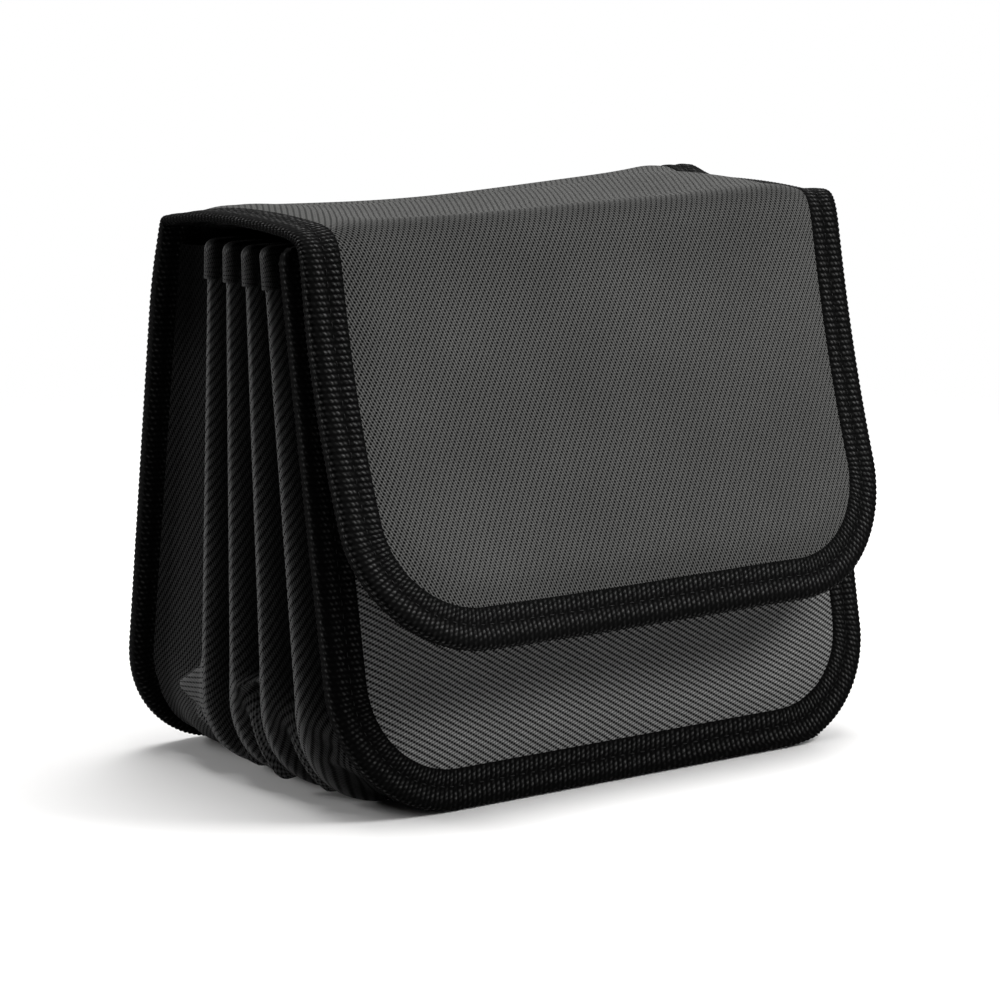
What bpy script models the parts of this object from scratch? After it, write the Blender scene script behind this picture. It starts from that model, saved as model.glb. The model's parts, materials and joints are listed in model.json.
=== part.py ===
"""Soft lens filter case with a fold-over flap, in metres, +Z up, its front facing -Y.

One padded cover makes the back, the top and the flap, edged with one black tape. A separate
padded front panel stands in front of it, and pleated cloth sides join the two. Each pleat
holds the side edge of a thin divider, so four dividers make five pockets. The origin is on
the ground, under the middle of the base cloth.
"""

import math

import bmesh
import bpy
from mathutils import Vector

MM = 0.001

# Driving sizes of the closed case
WIDTH = 165 * MM  # over the tape
BASE_DEPTH = 104 * MM  # front foot to back foot, over the tape
BACK_CREASE_HEIGHT = 141.2 * MM
BACK_CREASE_INSET = 21 * MM  # in from the back foot
FRONT_CREASE_HEIGHT = 142.5 * MM
TOP_ARCH = 2 * MM
FLAP_LENGTH = 102 * MM
FLAP_LEAN = math.radians(8)  # at the crease
FLAP_FLARE = math.radians(16.8)  # further lean at its lower edge
FLAP_ROOM = 8.8 * MM  # from the plane of the front panel out to the front crease
FRONT_DROP = 7.4 * MM  # from the front crease down to the top of the front panel
FRONT_LEAN = math.radians(10.1)
FLAP_CORNER = 31.7 * MM
FRONT_CORNER = 32.5 * MM
FRONT_TOP_CORNER = 6 * MM
BACK_CORNER = 27.5 * MM

# Layers of a padded panel, outside to inside
CLOTH = 0.6 * MM
FOAM = 3.2 * MM
LINING = 0.5 * MM
GAP = 0.3 * MM  # between pieces that touch
CREASE_GAP = 0.4 * MM
MITRE_SHARE = 0.8  # of a layer's depth, cut back from a crease
FOLD_ROOM_SHARE = 1.7  # of the tape's reach, cut back from a crease on the outer face

# Edge tape, folded over the panel edges
TAPE = 0.8 * MM
TAPE_LEG = 8.5 * MM

# Hook and loop patches
PATCH = 1.5 * MM
PATCH_WIDTH = 100 * MM
PATCH_HEIGHT = 25 * MM
HOOK_DROP = 37 * MM  # from the front crease to the hook patch
LOOP_DROP = 29.5 * MM  # from the top of the front panel to the loop patch

# Dividers
DIVIDERS = 4
BOARD = 2 * MM
BOARD_FLOOR = 5 * MM
HEAD_ROOM = 7 * MM  # from the lower crease down to the boards
BOARD_CORNER = 30 * MM
RIDGE_HEAD_SHARES = (0.333, 0.458, 0.583, 0.708)  # of the top, from the back crease
RIDGE_FOOT_SHARES = (0.35, 0.483, 0.627, 0.788)  # of the base, from the back foot
HEM = 0.55 * MM  # tape on a divider's top edge
HEM_LEG = 8 * MM

# Pleats of the two sides
PLEAT = 0.5 * MM
PLEAT_DEPTH = 7.9 * MM
NECK_DEPTH = 4.6 * MM
FIN_DEPTH = 3.1 * MM
SHOULDER = 0.5 * MM
REAR_FLANK = 3.4 * MM
PLEAT_CORNER = 24 * MM
PLEAT_FOOT = 6 * MM
PLEAT_FADE = 45 * MM  # height above which the pleats have their full depth
FOOT_DEPTH_SHARE = 0.12  # of that depth, left at the foot
FLANGE = 1.5 * MM
FLANGE_WIDTH = 3.5 * MM

# Base
BASE_CLOTH = 0.8 * MM
BASE_INSET = 28.5 * MM  # from the case's side in to the flat of the base
BASE_CORNER = 24 * MM
BASE_SIDE = 6 * MM  # height of its turned-up ends

# Steps of the curved pieces
PANEL_STEPS = 8
CORNER_STEPS = 6
SIDE_STEPS = 10
PATCH_STEPS = 4
MERGE = 0.01 * MM
SMOOTH_ANGLE = math.radians(40)  # edges sharper than this stay sharp

PANEL = CLOTH + GAP + FOAM + GAP + LINING
REACH = GAP + TAPE  # how far the tape stands out past the panel
HALF = WIDTH / 2 - REACH
BASE_HALF = WIDTH / 2 - BASE_INSET
BOARD_HEAD = min(BACK_CREASE_HEIGHT, FRONT_CREASE_HEIGHT) - HEAD_ROOM
PLEAT_SURFACE = PANEL + REACH + GAP + PLEAT / 2
PLEAT_TOP = BOARD_HEAD - HEM_LEG - GAP - PLEAT
SEAM_FOOT = BASE_SIDE + 2 * GAP


class Run:
    """A length of panel seen from the side. It starts at a point with a heading, measured
    from +Y towards +Z, and turns evenly. The inside of the case is to the left of it."""

    def __init__(self, start, heading, length, turn=0):
        self.start = start
        self.heading = heading
        self.length = length
        self.turn = turn

    def at(self, u, along, depth):
        """The point u across, so far along the outer face, and so deep inside it."""
        heading = self.heading + self.turn * along / self.length
        if self.turn:
            radius = self.length / self.turn
            y = radius * (math.sin(heading) - math.sin(self.heading))
            z = radius * (math.cos(self.heading) - math.cos(heading))
        else:
            y = along * math.cos(heading)
            z = along * math.sin(heading)
        inward = (-math.sin(heading), math.cos(heading))
        return Vector(
            (u, self.start[0] + y + depth * inward[0], self.start[1] + z + depth * inward[1])
        )

    def y_at(self, height, depth):
        """Where a straight run's face of that depth is, at a height above the ground."""
        level = self.at(0, 0, depth)
        return level.y + (height - level.z) / math.tan(self.heading)


def foot_height(lean):
    """How high the outer edge of a leaning panel starts, so that its tape stands on the ground."""
    return REACH * math.cos(lean) + (PANEL + REACH) * math.sin(lean)


def foot_inset(lean):
    return REACH * (math.cos(lean) + math.sin(lean))


def straight_run(start, end):
    y, z = end[0] - start[0], end[1] - start[1]
    return Run(start, math.atan2(z, y), math.hypot(y, z))


def arched_run(start, end, rise):
    """A run that bows outwards by rise between its two ends."""
    chord = straight_run(start, end)
    half = 2 * math.atan2(2 * rise, chord.length)
    length = chord.length * half / math.sin(half)
    return Run(start, chord.heading - half, length, 2 * half)


BACK_CREASE = (BASE_DEPTH / 2 - BACK_CREASE_INSET, BACK_CREASE_HEIGHT)
BACK_LEAN = math.atan2(BACK_CREASE_INSET, BACK_CREASE_HEIGHT)
BACK_FOOT = (BASE_DEPTH / 2 - foot_inset(BACK_LEAN), foot_height(BACK_LEAN))
FRONT_FOOT = (foot_inset(FRONT_LEAN) - BASE_DEPTH / 2, foot_height(FRONT_LEAN))


def front_plane(height):
    """Where the outer face of the front panel, or the plane above it, is at that height."""
    return FRONT_FOOT[0] + (height - FRONT_FOOT[1]) * math.tan(FRONT_LEAN)


FRONT_CREASE = (front_plane(FRONT_CREASE_HEIGHT) - FLAP_ROOM, FRONT_CREASE_HEIGHT)
FRONT_TOP = FRONT_CREASE_HEIGHT - FRONT_DROP
FRONT_HEAD = (front_plane(FRONT_TOP), FRONT_TOP)
BACK = straight_run(BACK_FOOT, BACK_CREASE)
TOP = arched_run(BACK_CREASE, FRONT_CREASE, TOP_ARCH)
FLAP = Run(FRONT_CREASE, -math.pi / 2 - FLAP_LEAN, FLAP_LENGTH, -FLAP_FLARE)
FRONT = straight_run(FRONT_HEAD, FRONT_FOOT)
FAN_AXIS = (-BASE_DEPTH / 2, 0)


def new_material(name, colour, roughness):
    material = bpy.data.materials.new(name)
    material.use_nodes = True
    shader = material.node_tree.nodes["Principled BSDF"]
    shader.inputs["Base Color"].default_value = (*colour, 1)
    shader.inputs["Roughness"].default_value = roughness
    shader.inputs["Metallic"].default_value = 0
    return material


def materials_of(node):
    """A material of the piece's own, from the cloth that its name speaks of."""
    for words, colour, roughness in (
        (("binding",), (0.012, 0.012, 0.013), 0.8),
        (("lining", "divider"), (0.02, 0.02, 0.021), 0.9),
        (("foam",), (0.03, 0.03, 0.03), 0.95),
        (("hook", "loop"), (0.01, 0.01, 0.01), 0.95),
    ):
        if any(word in node for word in words):
            return new_material(node, colour, roughness)
    return new_material(node, (0.045, 0.046, 0.048), 0.55)


def make_empty(name, axis, parent):
    """The frame of one moving body, with its origin on its joint's axis."""
    empty = bpy.data.objects.new(name, None)
    empty["axis"] = axis
    parts.objects.link(empty)
    start = Vector((0, *axis))
    if parent:
        empty.parent = parent
        start -= Vector((0, *parent["axis"]))
    empty.location = start
    return empty


def sheet(node, body, across, down, place, thickness):
    """One piece of cloth: a grid whose corners go to place(column, row), made thick."""
    bm = bmesh.new()
    bmesh.ops.create_grid(bm, x_segments=across, y_segments=down, size=0.5)
    origin = Vector((0, *body["axis"]))
    for vert in bm.verts:
        column = round((vert.co.x + 0.5) * across)
        row = round((vert.co.y + 0.5) * down)
        vert.co = place(column, row) - origin
    bmesh.ops.remove_doubles(bm, verts=bm.verts, dist=MERGE)
    bmesh.ops.recalc_face_normals(bm, faces=bm.faces)
    mesh = bpy.data.meshes.new(node)
    bm.to_mesh(mesh)
    bm.free()
    mesh.materials.append(materials_of(node))
    obj = bpy.data.objects.new(node, mesh)
    parts.objects.link(obj)
    obj.parent = body
    wall = obj.modifiers.new("Thickness", "SOLIDIFY")
    wall.thickness = thickness
    wall.offset = 0
    wall.use_even_offset = True
    wall.use_rim = True
    mesh.shade_smooth()
    mesh.set_sharp_from_angle(angle=SMOOTH_ANGLE)
    return obj


def corner_rows(length, half, radius):
    """(along, half width) pairs round a rounded lower corner, from its top to the edge."""
    rows = []
    for step in range(CORNER_STEPS + 1):
        turn = math.pi / 2 * step / CORNER_STEPS
        along = length - radius + radius * math.sin(turn)
        rows.append((along, half - radius + radius * math.cos(turn)))
    return rows


def panel_rows(start, length, half, radius, top_radius=0):
    """The rows of a panel with a rounded lower edge, and a rounded top one if asked."""
    foot = corner_rows(length, half, radius)
    head = [(start, half)]
    if top_radius:
        head = [(length - along, width) for along, width in corner_rows(length, half, top_radius)]
        head.reverse()
    first, last = head[-1][0], foot[0][0]
    middle = [
        (first + (last - first) * step / PANEL_STEPS, half) for step in range(1, PANEL_STEPS)
    ]
    return head + middle + foot


def panel_layer(node, body, run, rows, depth, thickness, upside_down=False):
    """One layer of a padded panel, between its left and right edges, row by row."""

    def place(column, row):
        along, half = rows[row]
        if upside_down:
            along = run.length - along
        return run.at(half * (2 * column - 1), along, depth + thickness / 2)

    return sheet(node, body, 1, len(rows) - 1, place, thickness)


def crease_start(depth):
    return CREASE_GAP + MITRE_SHARE * depth


def panel(body_name, body, run, radius, top_radius=0, upside_down=False):
    """Cloth, foam and lining of one panel."""
    depth = 0
    for layer, thickness in (("outer", CLOTH), ("foam", FOAM), ("lining", LINING)):
        start = crease_start(depth + thickness)
        rows = panel_rows(start, run.length, HALF, radius, top_radius)
        panel_layer(f"{body_name}_{layer}", body, run, rows, depth, thickness, upside_down)
        depth += thickness + GAP


def edge_path(rows):
    """Points down the left edge of those rows, along the foot and up the right edge, each
    with the way out of the panel: (u, along, out u, out along)."""
    left = []
    for index, (along, half) in enumerate(rows):
        before, after = rows[max(index - 1, 0)], rows[min(index + 1, len(rows) - 1)]
        if along < rows[-1][0]:
            du, dv = after[1] - before[1], after[0] - before[0]
            out = Vector((-dv, -du)).normalized()
        else:
            out = Vector((0, 1))
        left.append((-half, along, out.x, out.y))
    right = [(-u, along, -out_u, out_v) for u, along, out_u, out_v in left]
    return left + right[::-1]


def tape_cut(run, along, depth):
    """How far the end of a tape is moved along its run to keep clear of the next panel's."""
    outer_cut = CREASE_GAP + FOLD_ROOM_SHARE * REACH
    cut = outer_cut if depth < 0 else crease_start(PANEL + REACH)
    if math.isclose(along, 0):
        return cut
    return -cut if math.isclose(along, run.length) else 0


def channel_point(run, path_point, inset, depth, upside_down=False):
    """A point of the tape. A way out that is square to the run is a side edge, which ends at
    a crease."""
    u, along, out_u, out_v = path_point
    along += -inset * out_v if out_v else tape_cut(run, along, depth)
    if upside_down:
        along = run.length - along
    return run.at(u - inset * out_u, along, depth)


def tape_section():
    """(inset, depth) across the tape, from its outer leg round the edge to its inner leg."""
    middle = GAP + TAPE / 2
    return (
        (TAPE_LEG, -middle),
        (-middle, -middle),
        (-middle, PANEL + middle),
        (TAPE_LEG, PANEL + middle),
    )


def binding(node, body, run, path, upside_down=False):
    """Tape folded over the edge of a panel along a path."""
    section = tape_section()

    def place(column, row):
        inset, depth = section[column]
        return channel_point(run, path[row], inset, depth, upside_down)

    return sheet(node, body, len(section) - 1, len(path) - 1, place, TAPE)


def patch(node, body, run, drop, depth):
    """A flat patch sewn to a panel, that follows its bend."""

    def place(column, row):
        u = PATCH_WIDTH / 2 * (2 * column - 1)
        return run.at(u, drop + PATCH_HEIGHT * row / PATCH_STEPS, depth)

    return sheet(node, body, 1, PATCH_STEPS, place, PATCH)


def ridge_y(index, height):
    """The centre line of a divider, numbered from the back, at a height above the ground."""
    head = BACK_CREASE[0] - RIDGE_HEAD_SHARES[index] * (BACK_CREASE[0] - FRONT_CREASE[0])
    foot = BASE_DEPTH / 2 - RIDGE_FOOT_SHARES[index] * BASE_DEPTH
    return foot + (head - foot) * (height - BOARD_FLOOR) / (BOARD_HEAD - BOARD_FLOOR)


def ridge_x(height):
    """How far out the crest of a pleat's cloth is: it rounds in under the case at its foot."""
    crest = WIDTH / 2 - HEM - GAP - PLEAT / 2
    if height >= PLEAT_CORNER:
        return crest
    return crest - PLEAT_CORNER + math.sqrt(PLEAT_CORNER**2 - (PLEAT_CORNER - height) ** 2)


def pleat_share(height):
    """The share of the full pleat depth at a height: pleats flatten towards the foot."""
    rise = (height - PLEAT_FOOT) / (PLEAT_FADE - PLEAT_FOOT)
    rise = min(max(rise, 0), 1)
    return FOOT_DEPTH_SHARE + (1 - FOOT_DEPTH_SHARE) * rise * rise * (3 - 2 * rise)


def valley(slot, height):
    """(x, y) of the valley behind divider number slot, or in front of the last divider."""
    share = pleat_share(height)
    depth = PLEAT_DEPTH
    if slot == 0:
        y = ridge_y(0, height) + REAR_FLANK
        depth = NECK_DEPTH + (PLEAT_DEPTH - NECK_DEPTH) / 2
    elif slot == DIVIDERS:
        y = (ridge_y(DIVIDERS - 1, height) + FRONT.y_at(height, PLEAT_SURFACE)) / 2
    else:
        y = (ridge_y(slot - 1, height) + ridge_y(slot, height)) / 2
    return ridge_x(height) - depth * share, y


def panel_edge(foot_z, corner, height):
    """Half the width of a panel with rounded lower corners, at a height above the ground."""
    rise = height - foot_z
    if rise >= corner:
        return HALF
    return HALF - corner + math.sqrt(corner**2 - (corner - rise) ** 2)


def side_height(row, foot, top):
    return foot + (top - foot) * row / SIDE_STEPS


def pleat(node, body, index, side):
    """The cloth round the side edge of one divider, from valley to valley. Above the tape's
    lower edge only the fin that the tape covers goes on."""
    clear = BOARD / 2 + GAP + PLEAT / 2
    fin_top = BOARD_HEAD
    columns = [
        ("rear", PLEAT_DEPTH, 0, PLEAT_TOP),
        ("fin", NECK_DEPTH, clear, PLEAT_TOP),
        ("fin", FIN_DEPTH, clear, PLEAT_TOP),
        ("fin", FIN_DEPTH - GAP, clear, fin_top),
        ("fin", SHOULDER, clear, fin_top),
        ("fin", 0, 0, fin_top),
        ("fin", SHOULDER, -clear, fin_top),
        ("fin", FIN_DEPTH - GAP, -clear, fin_top),
        ("fin", FIN_DEPTH, -clear, PLEAT_TOP),
        ("fin", NECK_DEPTH, -clear, PLEAT_TOP),
        ("front", PLEAT_DEPTH, 0, PLEAT_TOP),
    ]
    valley_gap = PLEAT / 2 + GAP

    def place(column, row):
        kind, inset, offset, top = columns[column]
        height = side_height(row, PLEAT_FOOT, top)
        if kind == "rear":
            x, y = valley(index, height)
            y -= valley_gap
        elif kind == "front":
            x, y = valley(index + 1, height)
            y += valley_gap
        else:
            x = ridge_x(height) - max(inset * pleat_share(height), min(inset, SHOULDER))
            y = ridge_y(index, height) + offset
        return Vector((side * x, y, height))

    return sheet(node, body, len(columns) - 1, SIDE_STEPS, place, PLEAT)


def half_pleat(node, body, run, foot_z, corner, slot, side):
    """The cloth from the seam on a panel's inner face to the nearest valley."""
    valley_gap = PLEAT / 2 + GAP
    towards_valley = 1 if slot == 0 else -1

    def place(column, row):
        height = side_height(row, SEAM_FOOT, PLEAT_TOP)
        if column == 2:
            x, y = valley(slot, height)
            y += towards_valley * valley_gap
        else:
            x = panel_edge(foot_z, corner, height) - FLANGE - FLANGE_WIDTH * column
            y = run.y_at(height, PLEAT_SURFACE)
        return Vector((side * x, y, height))

    return sheet(node, body, 2, SIDE_STEPS, place, PLEAT)


def divider_board(node, body, index):
    """A thin padded board with rounded lower corners, held by its side edges."""
    half = WIDTH / 2 - HEM - GAP - PLEAT - GAP - SHOULDER
    rise = BOARD_HEAD - BOARD_FLOOR
    rows = panel_rows(0, rise, half, BOARD_CORNER)

    def place(column, row):
        drop, half_width = rows[row]
        height = BOARD_HEAD - drop
        return Vector((half_width * (2 * column - 1), ridge_y(index, height), height))

    return sheet(node, body, 1, len(rows) - 1, place, BOARD)


def divider_hem(node, body, index):
    """The tape over a divider's top edge. It widens at each end to cover the pleat's crest."""
    reach = WIDTH / 2 - HEM / 2
    step = WIDTH / 2 - HEM - GAP - PLEAT - FIN_DEPTH
    thin = BOARD / 2 + GAP + HEM / 2
    wide = thin + PLEAT + GAP
    stations = [
        (-reach, 0),
        (-reach, wide),
        (-step, wide),
        (-step + NECK_DEPTH - FIN_DEPTH, thin),
        (0, thin),
        (step - NECK_DEPTH + FIN_DEPTH, thin),
        (step, wide),
        (reach, wide),
        (reach, 0),
    ]
    top = BOARD_HEAD + GAP + HEM / 2
    section = ((-1, top - HEM_LEG), (-1, top), (1, top), (1, top - HEM_LEG))

    def place(column, row):
        sign, height = section[column]
        x, half = stations[row]
        return Vector((x, ridge_y(index, height) + sign * half, height))

    return sheet(node, body, len(section) - 1, len(stations) - 1, place, HEM)


def base_sheet(node, body, lift, thickness):
    """The cloth under the pockets, turned up at both sides inside the pleats."""
    middle = lift + thickness / 2
    radius = BASE_CORNER - middle
    climb = math.acos((BASE_CORNER - BASE_SIDE) / radius)
    corner = []
    for step in range(CORNER_STEPS + 1):
        turn = climb * (1 - step / CORNER_STEPS)
        x = BASE_HALF + radius * math.sin(turn)
        corner.append((x, BASE_CORNER - radius * math.cos(turn)))
    profile = [(-x, z) for x, z in corner] + [(0, middle)] + corner[::-1]
    depth = PANEL + REACH + GAP

    def place(column, row):
        x, z = profile[column]
        run = FRONT if row == 0 else BACK
        return Vector((x, run.y_at(z, depth), z))

    return sheet(node, body, len(profile) - 1, 1, place, thickness)


def build_cover(back, top, flap):
    """The back, the top and the flap, with the tape along their edges."""
    panel("back", back, BACK, BACK_CORNER, upside_down=True)
    panel("flap", flap, FLAP, FLAP_CORNER)
    depth = 0
    for layer, thickness in (("outer", CLOTH), ("foam", FOAM), ("lining", LINING)):
        start = crease_start(depth + thickness)
        span = TOP.length - 2 * start
        rows = [(start + span * step / PANEL_STEPS, HALF) for step in range(PANEL_STEPS + 1)]
        panel_layer(f"top_{layer}", top, TOP, rows, depth, thickness)
        depth += thickness + GAP
    back_rows = panel_rows(0, BACK.length, HALF, BACK_CORNER)
    binding("back_binding", back, BACK, edge_path(back_rows), upside_down=True)
    flap_rows = panel_rows(0, FLAP.length, HALF, FLAP_CORNER)
    binding("flap_binding", flap, FLAP, edge_path(flap_rows))
    for name, side in (("left", -1), ("right", 1)):
        path = [
            (side * HALF, TOP.length * step / PANEL_STEPS, side, 0)
            for step in range(PANEL_STEPS + 1)
        ]
        binding(f"top_binding_{name}", top, TOP, path)
    patch("hook_patch", flap, FLAP, HOOK_DROP, PANEL + GAP + PATCH / 2)


def build_front(front):
    """The front panel, taped all round, with the loop patch that the flap closes on."""
    panel("front", front, FRONT, FRONT_CORNER, top_radius=FRONT_TOP_CORNER)
    rows = panel_rows(0, FRONT.length, HALF, FRONT_CORNER, FRONT_TOP_CORNER)
    path = edge_path(rows)
    path[0] = (path[0][0], path[0][1], 0, -1)
    path[-1] = (path[-1][0], path[-1][1], 0, -1)
    path.append(path[0])
    binding("front_binding", front, FRONT, path)
    patch("loop_patch", front, FRONT, LOOP_DROP, -GAP - PATCH / 2)


def build_base(back):
    base_sheet("base_cloth", back, 0, BASE_CLOTH)
    base_sheet("base_lining", back, BASE_CLOTH + GAP, LINING)


def build_sides(back, dividers, front):
    """Dividers and the pleated cloth that joins them to each other and to the panels."""
    for name, side in (("left", -1), ("right", 1)):
        half_pleat(f"gusset_{name}_back", back, BACK, BACK_FOOT[1], BACK_CORNER, 0, side)
        half_pleat(
            f"gusset_{name}_front", front, FRONT, FRONT_FOOT[1], FRONT_CORNER, DIVIDERS, side
        )
    for index, body in enumerate(dividers):
        number = index + 1
        divider_board(f"divider_{number}", body, index)
        divider_hem(f"divider_{number}_binding", body, index)
        for name, side in (("left", -1), ("right", 1)):
            pleat(f"pleat_{name}_{number}", body, index, side)


for old in list(bpy.data.objects):
    bpy.data.objects.remove(old, do_unlink=True)

parts = bpy.data.collections.new("Lens filter case")
bpy.context.scene.collection.children.link(parts)

back_frame = make_empty("back_frame", (0, 0), None)
top_frame = make_empty("top_frame", BACK_CREASE, back_frame)
flap_frame = make_empty("flap_frame", FRONT_CREASE, top_frame)
fan_frames = [back_frame]
for number in range(1, DIVIDERS + 1):
    fan_frames.append(make_empty(f"divider_{number}_frame", FAN_AXIS, fan_frames[-1]))
front_frame = make_empty("front_frame", FAN_AXIS, fan_frames[-1])

build_cover(back_frame, top_frame, flap_frame)
build_front(front_frame)
build_base(back_frame)
build_sides(back_frame, fan_frames[1:], front_frame)
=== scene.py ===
"""The looks of a soft lens filter case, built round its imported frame.

The case is one padded cover that makes the back, the top and the flap, a padded front panel,
two pleated sides and four thin dividers. Every surface is a grid of points worked out with
numpy: u runs across the case, s along a panel seen from the side, and depth into it. Lengths
are in metres, and cloth coordinates, which the weaves follow, are in millimetres.
"""

import json
import math

import bpy
import numpy as np
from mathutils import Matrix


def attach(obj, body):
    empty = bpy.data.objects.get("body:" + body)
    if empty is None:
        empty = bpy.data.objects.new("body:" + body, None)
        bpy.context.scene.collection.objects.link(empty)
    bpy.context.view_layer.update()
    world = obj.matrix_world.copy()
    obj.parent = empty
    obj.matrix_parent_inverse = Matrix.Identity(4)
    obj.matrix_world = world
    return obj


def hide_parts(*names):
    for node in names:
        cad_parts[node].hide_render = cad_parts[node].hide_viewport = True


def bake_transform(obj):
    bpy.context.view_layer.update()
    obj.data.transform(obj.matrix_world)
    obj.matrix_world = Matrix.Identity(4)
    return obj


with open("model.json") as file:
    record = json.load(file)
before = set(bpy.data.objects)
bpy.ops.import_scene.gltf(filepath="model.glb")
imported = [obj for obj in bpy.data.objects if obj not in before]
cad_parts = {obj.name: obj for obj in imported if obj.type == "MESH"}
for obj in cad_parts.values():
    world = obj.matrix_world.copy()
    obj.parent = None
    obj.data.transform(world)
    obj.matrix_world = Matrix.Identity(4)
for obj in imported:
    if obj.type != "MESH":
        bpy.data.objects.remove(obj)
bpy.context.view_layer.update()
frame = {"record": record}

MM = 0.001
JOINTS = {joint["name"]: joint for joint in frame["record"]["behaviour"]["joints"]}

# Frame places, as (y, z)
BACK_CREASE = np.array(JOINTS["top_fold"]["pos_m"][1:])
FRONT_CREASE = np.array(JOINTS["flap_fold"]["pos_m"][1:])
FAN_AXIS = np.array(JOINTS["fan_1"]["pos_m"][1:])

# Panels
WIDTH = 165 * MM
BASE_DEPTH = -2 * FAN_AXIS[0]
TOP_ARCH = 2 * MM
FLAP_LENGTH = 102 * MM
FLAP_LEAN = math.radians(8)
FLAP_FLARE = math.radians(16.8)
FRONT_LEAN = math.radians(10.1)
FRONT_DROP = 5.9 * MM
FLAP_CORNER = 31.7 * MM
FRONT_CORNER = 32.5 * MM
FRONT_RIGHT_CORNER = 27 * MM
FRONT_TOP_CORNER = 2.5 * MM
BACK_CORNER = 27.5 * MM
BACK_SOFTNESS = 2.2 * MM
FRONT_SOFTNESS = 5 * MM

# Layers, outside to inside
CLOTH = 0.6 * MM
FOAM = 3.2 * MM
LINING = 0.5 * MM
GAP = 0.3 * MM
PANEL = CLOTH + GAP + FOAM + GAP + LINING
TAPE = 0.8 * MM
REACH = GAP + TAPE
HALF = WIDTH / 2 - REACH

# Tape
TAPE_LEG = 8.6 * MM
STAND = 0.62 * MM  # how far the tape stands off the cloth under its ribs
RIB_PITCH = 1.45 * MM
RIB_STEPS = 4  # rows of points for each rib
RIB_RELIEF = 0.34 * MM
LOBE_RELIEF = 0.62 * MM
STITCH_PITCH = 3.1 * MM

# Rows and columns of points, padding and bends
ROW_GAP = 1.4 * MM
BOARD_ROW_GAP = 2.4 * MM
PANEL_COLUMNS = 121
PAD_COLUMNS = 61
PATCH_COLUMNS = 101
BOARD_COLUMNS = 81
PUFF = 1.1 * MM  # how far the padding swells
FRONT_PUFF = 0.9 * MM
FOAM_INSET = 1.5 * MM
BEND_REACH = 7 * MM  # how far on each side of a crease the cover bends
LATE_BEND = 4 * MM  # how much further on the outer cloth bends at the rear crease

# Hook and loop patches
PATCH_WIDTH = 100 * MM
PATCH_HEIGHT = 25 * MM
PATCH = 1.5 * MM
PATCH_CORNER = 3 * MM
HOOK_DROP = 37 * MM  # from the front crease
LOOP_DROP = 31 * MM  # from the front panel's top edge

# Dividers
DIVIDERS = 4
BOARD = 2 * MM
BOARD_FLOOR = 5 * MM
BOARD_HEAD = BACK_CREASE[1] - 7 * MM
BOARD_CORNER = 30 * MM
RIDGE_HEAD_SHARES = (0.333, 0.458, 0.583, 0.708)
RIDGE_FOOT_SHARES = (0.35, 0.483, 0.627, 0.788)
HEM = 0.55 * MM
HEM_LEG = 8 * MM
HEM_TIPS = (1.2 * MM, 1.3 * MM, 1.3 * MM, 2 * MM)  # how far the ends rise

# Pleated sides
SIDE_CLOTH = 0.5 * MM
PLEAT_DEPTH = 8 * MM
BACK_SEAM_DEPTH = 2.6 * MM
FRONT_SEAM_DEPTH = 5.6 * MM
BACK_SEAM = PANEL + REACH + GAP - 1.6 * MM  # how deep in from the outer face it is sewn
FRONT_SEAM = PANEL + REACH + GAP - MM
SIDE_CORNER = 23 * MM
SIDE_TOP = 126 * MM
SIDE_ROWS = 150
SIDE_COLUMNS = 26  # between two ridges
FACET_TURN = -50  # degrees

# Folds low on the side cloth in millimetres: y and z of both ends, height and width
FOLDS = (
    (0.5, 26, -10.4, 30.6, 4.5, 1.6),
    (0, 25.5, -9, 5, 5.5, 2.0),
    (-12, 27, -25, 4, 3.6, 2.2),
    (-27, 25, -43, 6, 3.6, 2.4),
    (25, 12, 9, 3, 3, 2.2),
    (9, 20, 3, 5, 2.5, 2),
    (-33, 12, -48, 4, 3, 2),
    (-38, 16, -50, 15.4, -5, 2.6),
)

# Weaves, in turns a millimetre across and along the cloth
TWILL_RIDGES = (0.612, 0.371)
TWILL_ROWS = (0.65, -1.023)
TWILL_TERMS = ((1, 0, 0.27), (1, 1, 0.42), (1, -1, 0.2), (0, 1, 0.18), (2, 0, 0.16))


def smooth(t):
    """The share t, from 0 to 1, eased at both ends: 3t^2 - 2t^3."""
    t = np.clip(t, 0, 1)
    return t * t * (3 - 2 * t)


def unit(vectors):
    return vectors / np.maximum(np.linalg.norm(vectors, axis=-1, keepdims=True), 1e-12)


def lengths_along(points):
    """How far along a line each of its points is."""
    return np.concatenate([[0], np.cumsum(np.linalg.norm(np.diff(points, axis=0), axis=1))])


def resampled(at, along, points):
    """The points of a line at other lengths along it."""
    return np.column_stack([np.interp(at, along, points[:, k]) for k in (0, 1)])


def quarter_turned(heading):
    return np.column_stack([-heading[:, 1], heading[:, 0]])


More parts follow.
